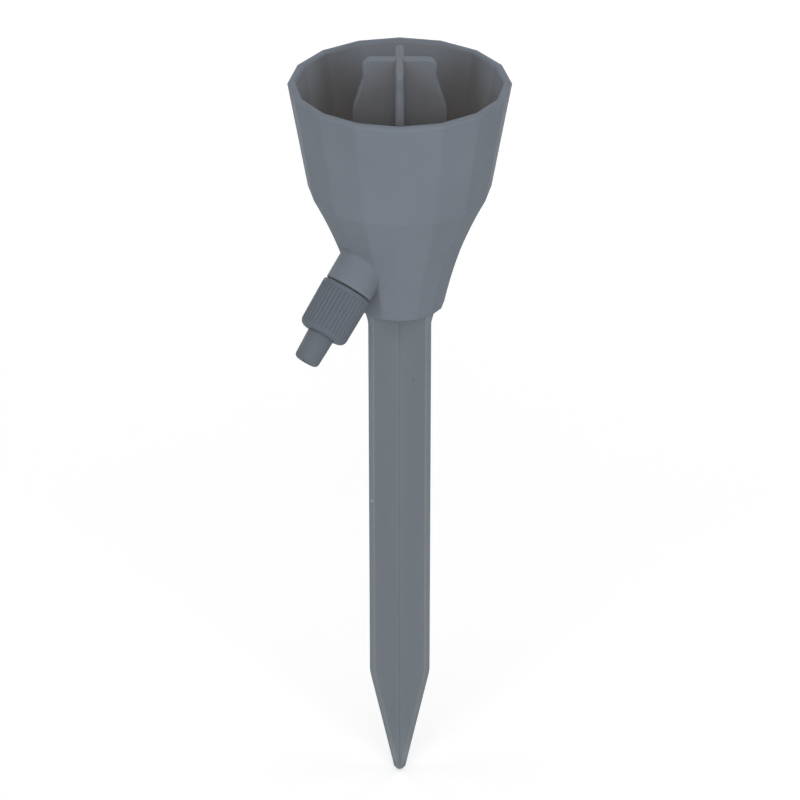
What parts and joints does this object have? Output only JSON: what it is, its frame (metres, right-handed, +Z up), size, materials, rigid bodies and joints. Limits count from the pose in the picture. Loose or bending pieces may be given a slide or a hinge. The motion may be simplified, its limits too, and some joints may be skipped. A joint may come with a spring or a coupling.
{
  "type": "self-watering plant spike",
  "caption": "Faceted bottle cup on an X-section ground spike; crossed plates hold an upturned bottle's neck and a ribbed screw-down knob sets the drip from an angled nozzle.",
  "frame": {"origin": "the spike's tip, on the spike's axis", "axes": "+Z up the spike to the cup's mouth; the valve leans down and out towards -X and -Y"},
  "size_m": [0.0606, 0.0606, 0.2326],
  "materials": {
    "cup_plastic": "matte moulded grey, fine spark-eroded texture",
    "spike_plastic": "matte moulded grey",
    "cross_plastic": "matte moulded grey",
    "knob_plastic": "matte moulded grey, a little darker than the cup",
    "stem_plastic": "satin moulded grey",
    "seal_rubber": "soft dark rubber"
  },
  "bodies": {
    "base": {"reservoir_cup": "cup_plastic", "ground_spike": "spike_plastic", "bottle_cross": "cross_plastic", "valve_seat": "seal_rubber"},
    "seal": {"stem_o_ring": "seal_rubber"},
    "knob": {"valve_knob": "knob_plastic", "valve_stem": "stem_plastic"}
  },
  "joints": [
    {"name": "valve_travel", "type": "slide", "parent": "base", "child": "seal", "axis": [-0.5, -0.5, -0.7071], "range_m": [0, 0.003]},
    {"name": "knob_turn", "type": "hinge", "parent": "seal", "child": "knob", "pos_m": [-0.018, -0.018, 0.16434], "axis": [-0.5, -0.5, -0.7071], "range_deg": [0, 720]}
  ],
  "couplings": [
    {"joint": "knob_turn", "follows": "valve_travel", "rad_per_m": 4188.8}
  ]
}
